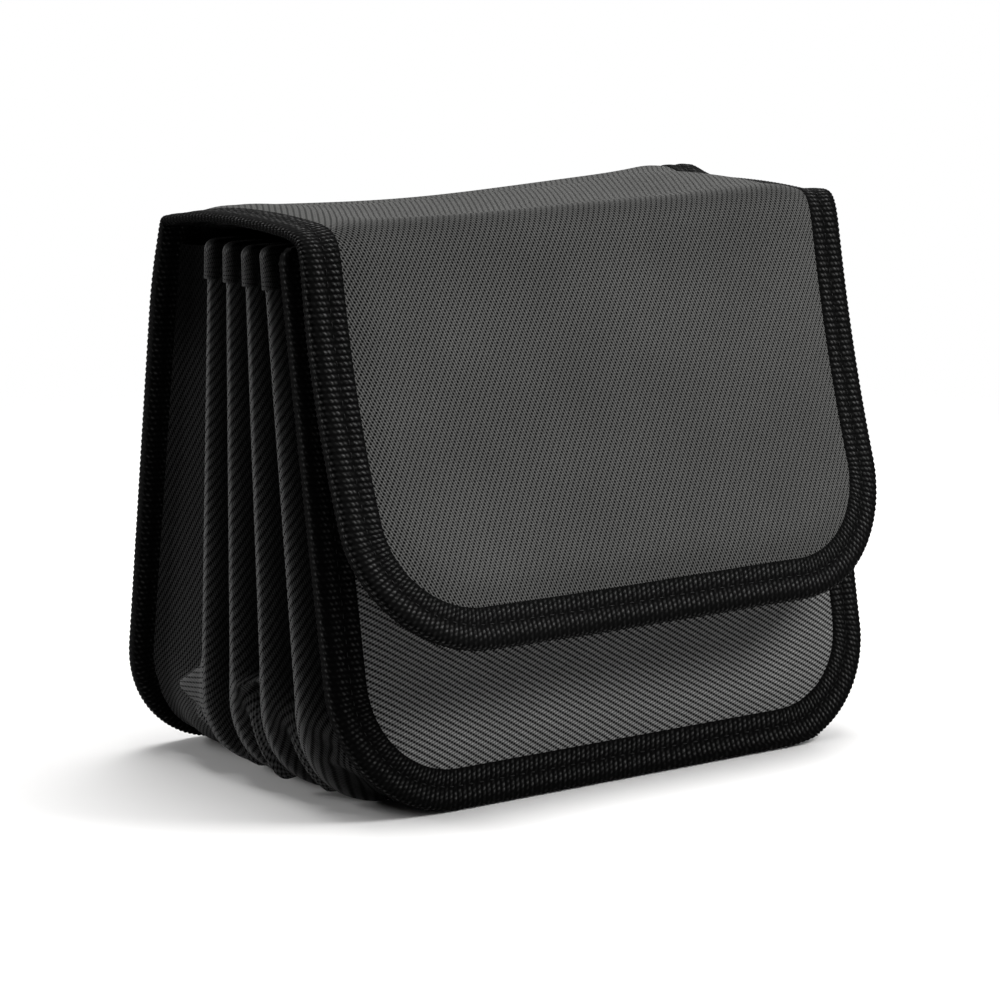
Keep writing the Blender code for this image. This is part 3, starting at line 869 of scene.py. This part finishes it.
class Look(Tree):
    """A material's tree, and the cloth coordinates that its pattern follows."""

    def __init__(self, name, roughness, specular, sheen=0.0):
        self.material = bpy.data.materials.new(name)
        self.material.use_nodes = True
        super().__init__(self.material.node_tree)
        self.shader = self.tree.nodes["Principled BSDF"].inputs
        for socket, value in (
            ("Roughness", roughness), ("Specular IOR Level", specular),
            ("Sheen Weight", sheen), ("Sheen Roughness", 0.4),
        ):
            self.put(self.shader[socket], value)
        values = {0: self.stored(), 1: (1, 1, 0)}
        self.cloth = self.add("ShaderNodeVectorMath", values, operation="MULTIPLY").outputs[0]

    def stored(self):
        return self.add("ShaderNodeAttribute", attribute_name="cloth").outputs["Vector"]

    def tone(self):
        """The painted light and shade here: the third of its stored coordinates."""
        return self.split(self.stored())["Z"]

    def cells(self, scale):
        values = {"Vector": self.cloth, "Scale": scale}
        return self.add("ShaderNodeTexVoronoi", values).outputs["Distance"]

    def colour(self, factor, dark, light):
        self.put(self.shader["Base Color"], self.mix(factor, (*dark, 1), (*light, 1)))

    def bump(self, height, distance, strength=1.0):
        """Raises the pattern in relief, and gives back the finished material."""
        values = {"Height": height, "Distance": distance, "Strength": strength}
        self.put(self.shader["Normal"], self.add("ShaderNodeBump", values).outputs["Normal"])
        return self.material


def scaled(colour, factor):
    return tuple(value * factor for value in colour)


def twill(name, colour, turn, groove, gloss):
    """Polyester twill, laid so many degrees round. Its floats shine and its holes don't."""
    look = Look(name, 0.5, gloss)
    given = {"Cloth": look.cloth, "Turn": math.radians(turn), "Groove": groove}
    weave = look.add("ShaderNodeGroup", given, node_tree=TWILL).outputs
    patchy = look.linear(look.noise(look.cloth, 0.035, 4.0), 0.4, 0.8)
    # the painted light and shade scales the weave's shade
    shade = look.product(weave["Shade"], patchy, look.tone())
    look.colour(shade, scaled(colour, 0.01), scaled(colour, 7.0))
    look.put(look.shader["Roughness"], look.linear(weave["Height"], -0.5, 1))
    return look.bump(weave["Height"], 0.25 * MM)


def ribbed_tape():
    """Black ribbed tape: short bright yarns, half a yarn on from rib to rib."""
    look = Look("ribbed_tape", 0.5, 0.07)
    split = look.split(look.cloth)
    lean = look.math("DIVIDE", split["X"], TAPE_LEG / MM * 3.5)
    ribs = look.math("DIVIDE", split["Y"], RIB_PITCH / MM)
    rib = look.wave(look.math("ADD", ribs, lean))
    yarn = look.wave(look.linear(ribs, 0.5, look.math("DIVIDE", split["X"], 1.3)))
    patchy = look.linear(look.noise(look.cloth, 0.9, 3.0), 2.8, -0.6)
    lobe = look.wave(look.math("DIVIDE", split["X"], TAPE_LEG / MM / 2))
    lobe = look.math("SUBTRACT", 1.2, lobe)
    woven = look.product(rib, look.linear(yarn, 0.75, 0.25), lobe, patchy)
    bright = look.math("POWER", look.math("MAXIMUM", woven, 0.0), 1.5)
    # the painted light and shade scales the tape's brightness
    bright = look.product(bright, look.tone())
    look.colour(bright, (0.0006, 0.0006, 0.0006), (0.075, 0.075, 0.074))
    look.put(look.shader["Roughness"], look.linear(bright, -0.4, 0.95))
    return look.bump(bright, 0.25 * MM)


def plain_weave(name, colour):
    look = Look(name, 0.55, 0.4, 0.1)
    height = look.add("ShaderNodeGroup", {"Cloth": look.cloth}, node_tree=WEAVE).outputs["Height"]
    look.colour(height, scaled(colour, 0.4), scaled(colour, 1.6))
    return look.bump(height, 0.1 * MM)


def foam_finish():
    """Closed-cell foam: fine pores."""
    look = Look("closed_foam", 0.9, 0.2)
    pores = look.cells(2.4)
    look.colour(pores, (0.012, 0.012, 0.012), (0.035, 0.035, 0.035))
    return look.bump(pores, 0.15 * MM)


def fuzz(name, colour, scale, strength):
    """Hook or loop tape: a crowd of small stiff hooks or soft loops."""
    look = Look(name, 0.8, 0.25, 0.3)
    height = look.math("SUBTRACT", look.noise(look.cloth, 3.0 * scale, 4.0), look.cells(scale))
    look.colour(height, scaled(colour, 0.4), scaled(colour, 2.2))
    return look.bump(height, 0.4 * MM, strength)


def thread_finish():
    look = Look("black_thread", 0.6, 0.2)
    noise = look.noise(look.add("ShaderNodeTexCoord").outputs["Object"], 3000.0, 2.0)
    look.colour(noise, (0.001, 0.001, 0.001), (0.008, 0.008, 0.008))
    return look.material


TWILL = twill_group()
WEAVE = weave_group()
FINISH = panel_materials()


def cover_rows(low, high):
    """s of each row between two places, closer together round the panel's corners."""
    rows = spaced(low, high, ROW_GAP)
    if low == 0:
        corner = corner_spaced(BACK_CORNER, ROW_GAP)
        rows = np.concatenate([corner, rows[rows > BACK_CORNER + 0.4 * ROW_GAP]])
    if high == COVER.length:
        corner = COVER.length - corner_spaced(FLAP_CORNER, ROW_GAP)[::-1]
        rows = np.concatenate([rows[rows < corner[0] - 0.4 * ROW_GAP], corner])
    return rows


def front_rows():
    """The same for the front panel."""
    head = corner_spaced(FRONT_TOP_CORNER, ROW_GAP)
    foot = FRONT.length - corner_spaced(FRONT_CORNER, ROW_GAP)[::-1]
    middle = spaced(FRONT_TOP_CORNER, FRONT.length - FRONT_CORNER, ROW_GAP)[1:-1]
    return np.concatenate([head, middle, foot])


def dress_panel(names, nodes, profile, rows, edge, swell, finish, rise, painted_shadings, ring=False):
    """Outer cloth, lining, tape and stitching, with the painted light and shade of the cloth
    and the tape.

    nodes says what each of the first three stands for.
    """
    cloth, lining, binding, seam = names
    pieces = (
        panel_slab(
            cloth, profile, rows, swell, (0, CLOTH), rise, finish, "outer_cloth", painted_shadings[0]
        ),
        panel_slab(lining, profile, rows, swell, (PANEL - LINING, PANEL), 0, "lining", "lining"),
        tape(binding, profile, edge, swell, ring, painted_shadings[1]),
        stitches(seam, profile, edge, swell),
    )
    for piece, stood_for in zip(pieces, nodes):
        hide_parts(*stood_for)
    return pieces


def make_cover():
    """The cover, in two lengths that meet on top of the case."""
    fore, rear = Edge.round_panel(COVER).cut_at(MIDDLE)
    for end, rim, low, high, bodies, tape_painted_shading, nodes in (
        ("rear", rear, 0, MIDDLE, ("back", "top"), rear_tape_painted_shading, (
            ("back_outer", "top_outer"), ("back_lining", "top_lining"),
            ("back_binding", "top_binding_left", "top_binding_right"),
        )),
        ("fore", fore, MIDDLE, COVER.length, ("top", "flap"), even_tone, (
            ("flap_outer",), ("flap_lining",), ("flap_binding",),
        )),
    ):
        names = [f"cover_{layer}_{end}" for layer in ("cloth", "lining", "tape", "stitches")]
        for piece in dress_panel(
            names, nodes, COVER, cover_rows(low, high), rim, cover_swell, "flap", PUFF,
            (cover_painted_shading, tape_painted_shading),
        ):
            bend(piece, *bodies)


def bend(piece, first, second):
    """Works out where a piece of the cover would bend round the crease between two of its
    panels, and bakes its transform into its mesh; the piece is not bent here.

    The top would stay flat up to the front crease, so that its lining clears the front's head,
    so there the bend starts half way. At the rear crease the outer cloth's bend starts further
    on than the lining's, which covers it when open.
    """
    crease = BACK_END if first == "back" else FLAP_START
    if piece.name == "cover_cloth_rear":
        crease = crease + LATE_BEND
    start, end = (
        COVER.place(0, crease + offset, 2 * MM) for offset in (-BEND_REACH, BEND_REACH)
    )
    if first == "top":
        start = (start + end) / 2
    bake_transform(piece)


def pad(body, profile, low, high, swell):
    """The foam of one panel: a closed pad that swells a little and thins at its edges."""
    s = spaced(low, high, 2 * MM)[:, None]
    half = profile.half(s)
    u = np.linspace(-1, 1, PAD_COLUMNS) * (half - FOAM_INSET)
    distance = np.minimum(half - np.abs(u), np.minimum(s - low, high - s))
    half_thick = FOAM / 2 * np.sqrt(np.clip(distance / (3 * MM), 0.02, 1))
    middle = CLOTH + GAP + FOAM / 2
    lift = swell(u, s)
    from_edge = profile.from_edge(u, s)
    rise = puff(from_edge, PUFF)
    outer = profile.place(u, s, profile.pinched(s, middle - half_thick, from_edge) - lift - rise)
    inner = profile.place(u, s, profile.pinched(s, middle + half_thick, from_edge) - lift)
    piece = slab(f"{body}_pad", outer, inner, "foam", "foam", cloth_map(u, s))
    settle(piece, body, f"{body}_foam")


def make_pads():
    """The foam of each panel, clear of the cover's two bends."""
    for body, low, high in (
        ("back", FOAM_INSET, BACK_END - BEND_REACH),
        ("top", BACK_END + BEND_REACH, FLAP_START - BEND_REACH),
        ("flap", FLAP_START + BEND_REACH, COVER.length - FOAM_INSET),
    ):
        pad(body, COVER, low, high, cover_swell)
    pad("front", FRONT, FOAM_INSET, FRONT.length - FOAM_INSET, front_swell)


def make_front():
    """The front panel, taped all round."""
    for piece in dress_panel(
        ("front_cloth", "front_lining_cloth", "front_tape", "front_stitches"),
        (("front_outer",), ("front_lining",), ("front_binding",)),
        FRONT, front_rows(), Edge.round_panel(FRONT), front_swell, "front", FRONT_PUFF,
        (even_tone, front_tape_painted_shading), ring=True,
    ):
        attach(piece, "front")


def make_patches():
    """The hook patch under the flap and the loop patch on the front panel, each sewn round."""
    end_rows = corner_spaced(PATCH_CORNER, 0.6 * MM)
    middle = spaced(PATCH_CORNER, PATCH_HEIGHT - PATCH_CORNER, MM)[1:-1]
    rows = np.concatenate([end_rows, middle, PATCH_HEIGHT - end_rows[::-1]])[:, None]
    for name, profile, low, under, thick, body, swell in (
        ("hook", COVER, FLAP_START + HOOK_DROP, PANEL + GAP, PATCH, "flap", cover_swell),
        ("loop", FRONT, LOOP_DROP, -GAP, -PATCH, "front", front_swell),
    ):
        s = low + rows
        from_edge = np.minimum(rows, PATCH_HEIGHT - rows)
        half = end_width(from_edge, PATCH_CORNER, PATCH_WIDTH / 2)
        u = np.linspace(-1, 1, PATCH_COLUMNS) * half
        distance = np.minimum(half - np.abs(u), from_edge)
        crown = thick * (0.35 + 0.65 * smooth(distance / (1.6 * MM)))
        pile = 0.12 * MM * np.sign(thick) * np.sin(u / MM * 2.1) * np.sin(s / MM * 2.3)
        lift = swell(u, s)
        outer = profile.place(u, s, under + crown + pile - lift)
        inner = profile.place(u, s, under - lift)
        piece = slab(f"{name}_tape", outer, inner, name, f"{name}_tape", cloth_map(u, s))
        settle(piece, body, f"{name}_patch")


def make_sides():
    """Pleated cloth, cut at each ridge into lengths that each lie between two bodies."""
    points, cloth, tone = side_grid()
    for name, side in (("left", -1), ("right", 1)):
        grid = points * [side, 1, 1]
        normals = grid_normals(grid)
        if np.sum(normals[..., 0]) * side < 0:
            normals = -normals
        inner = grid - normals * SIDE_CLOTH
        for k in range(DIVIDERS + 1):
            part = slice(k * SIDE_COLUMNS, (k + 1) * SIDE_COLUMNS + 1)
            piece = slab(
                f"side_{name}_{k + 1}", grid[:, part], inner[:, part], "side", "side_cloth",
                cloth[:, part] * [-side, 1], normals=normals[:, part], tone=tone[:, part],
                held="folded",
            )
            nodes = [f"pleat_{name}_{k + 1}"] if k < DIVIDERS else [f"gusset_{name}_front"]
            if k == 0:
                nodes.append(f"gusset_{name}_back")
            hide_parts(*nodes)
            start, end = blend_points(k)
            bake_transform(piece)


def blend_points(k):
    """Where the cloth between two stations starts and ends its turn, half way up the case.

    The line is square to their mean slant, and keeps clear of both, so that every point of
    a ridge follows its own divider.
    """
    heights = np.array([10 * MM, SIDE_TOP])
    lines = np.array(side_stations(heights))[k : k + 2]
    mean = lines.mean(0)
    slant = unit(np.array([mean[1] - mean[0], heights[1] - heights[0]]))
    across = np.array([-slant[1], slant[0]])
    centre = np.array([mean.mean(), heights.mean()])
    offsets = []
    for line in lines:
        ends = [np.dot(np.array([y, z]) - centre, across) for y, z in zip(line, heights)]
        offsets.append(max(ends) if np.mean(ends) < 0 else min(ends))
    margin = 0.12 * (offsets[1] - offsets[0])
    first = centre + across * (offsets[0] + margin)
    last = centre + across * (offsets[1] - margin)
    return (0, *first), (0, *last)


def make_dividers():
    """A cloth-covered board for each divider, with tape over its top edge."""
    half_width = WIDTH / 2 - HEM - SIDE_CLOTH - 2 * GAP - 0.5 * MM
    for index in range(DIVIDERS):
        body = f"divider_{index + 1}"
        ends = [(ridge_y(index, height), height) for height in (BOARD_HEAD, BOARD_FLOOR)]
        line = Profile(ends, (0, BOARD_CORNER))
        s = np.concatenate([
            spaced(0, line.length - BOARD_CORNER, BOARD_ROW_GAP)[:-1],
            line.length - corner_spaced(BOARD_CORNER, BOARD_ROW_GAP)[::-1],
        ])[:, None]
        half = end_width(line.length - s, BOARD_CORNER, half_width)
        u = np.linspace(-1, 1, BOARD_COLUMNS) * half
        distance = np.minimum(half - np.abs(u), np.minimum(s + MM, line.length - s))
        thick = BOARD / 2 * np.sqrt(np.clip(distance / MM, 0.05, 1))
        board = slab(
            f"divider_board_{index + 1}", line.place(u, s, -thick), line.place(u, s, thick),
            "divider", "divider_cloth", cloth_map(u, s),
        )
        settle(board, body, body)
        settle(divider_hem(index, line), body, f"{body}_binding")


def quarter_round(share):
    """The height of a quarter circle at a share of its width."""
    return np.sqrt(np.clip(1 - (1 - np.clip(share, 0, 1)) ** 2, 0, 1))


def divider_hem(index, line):
    """Tape over a divider's top edge: a U carried across, round at both ends.

    Its ends close as a quarter of an ellipse, seen from above and from the front.
    """
    reach = WIDTH / 2
    ends = reach - corner_spaced(4 * MM, 0.35 * MM)
    u = np.concatenate([-ends, spaced(-ends[-1], ends[-1], 0.7 * MM)[1:-1], ends[::-1]])
    over = reach - np.abs(u)
    drop = 3 * MM * (1 - quarter_round(over / (3 * MM)))
    half = (BOARD / 2 + GAP + HEM) * np.maximum(quarter_round(over / (2.2 * MM)), 0.05)
    rise = HEM_TIPS[index] * smooth((np.abs(u) - 55 * MM) / (20 * MM))
    leg, corner = HEM_LEG + HEM, 0.9 * MM
    down = np.linspace(leg, corner, 14)
    angle = np.linspace(0, math.pi / 2, 6)[1:]
    turned, out = corner * (1 - np.sin(angle)), np.cos(angle)
    side = np.ones(len(down))
    across = np.concatenate([-side, -out, out[::-1][1:], side])
    fall = np.concatenate([down, turned, turned[::-1][1:], down[::-1]])
    lowered = (drop - rise)[:, None] * (1 - fall / leg) - GAP - HEM
    rib = 0.06 * MM * np.cos(2 * math.pi * u / (0.9 * MM)) * smooth((over - 3 * MM) / (2 * MM))
    outer = line.place(u[:, None], fall + lowered, across * (half + rib)[:, None])
    wall = np.minimum(HEM, 0.6 * half)
    inner = line.place(
        u[:, None] * (1 - 0.4 * HEM / reach), np.maximum(fall, HEM) + lowered,
        across * (half - wall)[:, None],
    )
    closed = np.minimum(over, 3 * MM)
    spread = closed * (1 - smooth((over - 3 * MM) / (3 * MM))) + half
    round_end = (over - closed)[:, None] - across * spread[:, None]
    # Painted shade darkens the hem's legs, and a painted highlight lights its rounded ends.
    return slab(
        f"divider_hem_{index + 1}", outer, inner, "hem", "hem_tape",
        cloth_map(1.3 * fall, 1.3 * round_end), tone=(0.3 + 2.4 * bell(over, 0, MM))[:, None],
    )


def make_base():
    """The cloth under the pockets: flat, and turned up a little inside the pleated sides."""
    flat = WIDTH / 2 - SIDE_CORNER - 7 * MM
    radius = SIDE_CORNER - 2.4 * MM
    angle = np.linspace(math.radians(20), 0, 12)
    side = np.linspace(flat, -flat, 50)[1:-1]
    turned = flat + radius * np.sin(angle)
    x = np.concatenate([turned, side, -turned[::-1]])
    lift = radius * (1 - np.cos(angle))
    z = np.concatenate([lift, np.zeros(len(side)), lift[::-1]])
    z = z + MM * smooth((np.abs(x) - flat + 8 * MM) / (8 * MM))
    first, last = seam_y("front", z), seam_y("back", z)
    y = first + (last - first) * np.linspace(0, 1, 40)[:, None]
    outer = np.stack(np.broadcast_arrays(x, y, z + 0.1 * MM), -1)
    normals = grid_normals(outer)
    normals = normals * np.sign(-normals[20, 30, 2])  # towards the ground
    for name, low, high, finish, slot, node in (
        ("base_outer_cloth", 0, 0.7 * MM, "side", "base_cloth", "base_cloth"),
        ("base_inner_cloth", 1.0 * MM, 1.5 * MM, "lining", "lining", "base_lining"),
    ):
        piece = slab(
            name, outer - normals * low, outer - normals * high, finish, slot, cloth_map(x, y),
            normals=normals, held="stretched",
        )
        settle(piece, "back", node)


def make_studio():
    """A pale floor, soft lights and the camera."""
    scene = bpy.context.scene
    bpy.ops.mesh.primitive_plane_add(size=12, location=(0, 0, 0))
    floor = bpy.context.object
    floor.name = "floor"
    material = bpy.data.materials.new("pale_floor")
    material.use_nodes = True
    shader = material.node_tree.nodes["Principled BSDF"]
    tree = Tree(material.node_tree)
    seen = tree.add("ShaderNodeLightPath").outputs["Is Camera Ray"]
    colour = tree.mix(seen, (0.4, 0.4, 0.4, 1), (0.86, 0.855, 0.85, 1))
    tree.put(shader.inputs["Base Color"], colour)
    shader.inputs["Roughness"].default_value = 0.55
    shader.inputs["Specular IOR Level"].default_value = 0.3
    place = tree.add("ShaderNodeTexCoord").outputs["Object"]
    reach = tree.add("ShaderNodeVectorMath", {0: place}, operation="LENGTH").outputs["Value"]
    fade = tree.add("ShaderNodeMapRange", {"Value": reach, "From Min": 0.2, "From Max": 0.6})
    fade.interpolation_type = "SMOOTHERSTEP"
    clear = tree.add("ShaderNodeBsdfTransparent")
    mixed = tree.add("ShaderNodeMixShader", {"Fac": fade.outputs["Result"]})
    tree.put(mixed.inputs[1], shader.outputs[0])
    tree.put(mixed.inputs[2], clear.outputs[0])
    output = material.node_tree.nodes["Material Output"]
    tree.put(output.inputs["Surface"], mixed.outputs[0])
    floor.data.materials.append(material)

    world = bpy.data.worlds.new("studio")
    scene.world = world
    world.use_nodes = True
    background = world.node_tree.nodes["Background"]
    background.inputs["Color"].default_value = (1, 1, 1, 1)
    background.inputs["Strength"].default_value = 1.0
    tree = Tree(world.node_tree)
    heading = tree.add("ShaderNodeTexCoord").outputs["Generated"]
    facing = tree.dot(heading, (0.75, -0.1, 0.6))
    room = tree.add("ShaderNodeMapRange", {
        "Value": facing, "From Min": -0.2, "From Max": 1, "To Min": 0.02, "To Max": 0.36
    })
    seen = tree.add("ShaderNodeLightPath").outputs["Is Camera Ray"]
    tree.put(background.inputs["Strength"], tree.math("MAXIMUM", seen, room.outputs["Result"]))

    for name, place, size, power in (
        ("overhead", (0.05, 0, 1.4), 0.9, 22),
        ("key", (0.8, -0.75, 1.05), 0.55, 16),
        ("side", (-0.9, 1.15, 0.45), 0.5, 15),
        ("right", (1.2, 0.7, 0.4), 0.6, 3),
    ):
        light = bpy.data.lights.new(name, "AREA")
        light.size = size
        light.energy = power
        lamp = bpy.data.objects.new(name, light)
        lamp.location = place
        aim = -np.array(place) + [0, 0, 0.07]
        lamp.rotation_euler = direction_to_euler(aim)
        scene.collection.objects.link(lamp)

    camera = bpy.data.cameras.new("camera")
    camera.lens = 151.2
    camera.sensor_width = 36
    camera.clip_start = 0.05
    view = bpy.data.objects.new("camera", camera)
    view.location = (-0.626935, -0.850690, 0.266509)
    view.rotation_euler = direction_to_euler((0.58250, 0.79066, -0.18852))
    scene.collection.objects.link(view)
    scene.camera = view
    scene.view_settings.view_transform = "Standard"


def direction_to_euler(direction):
    """The turn of a camera or lamp that looks that way with its top up."""
    x, y, z = unit(np.array(direction, float))
    return (math.acos(-z), 0, math.atan2(-x, y))


make_cover()
make_pads()
make_front()
make_patches()
make_sides()
make_dividers()
make_base()
make_studio()
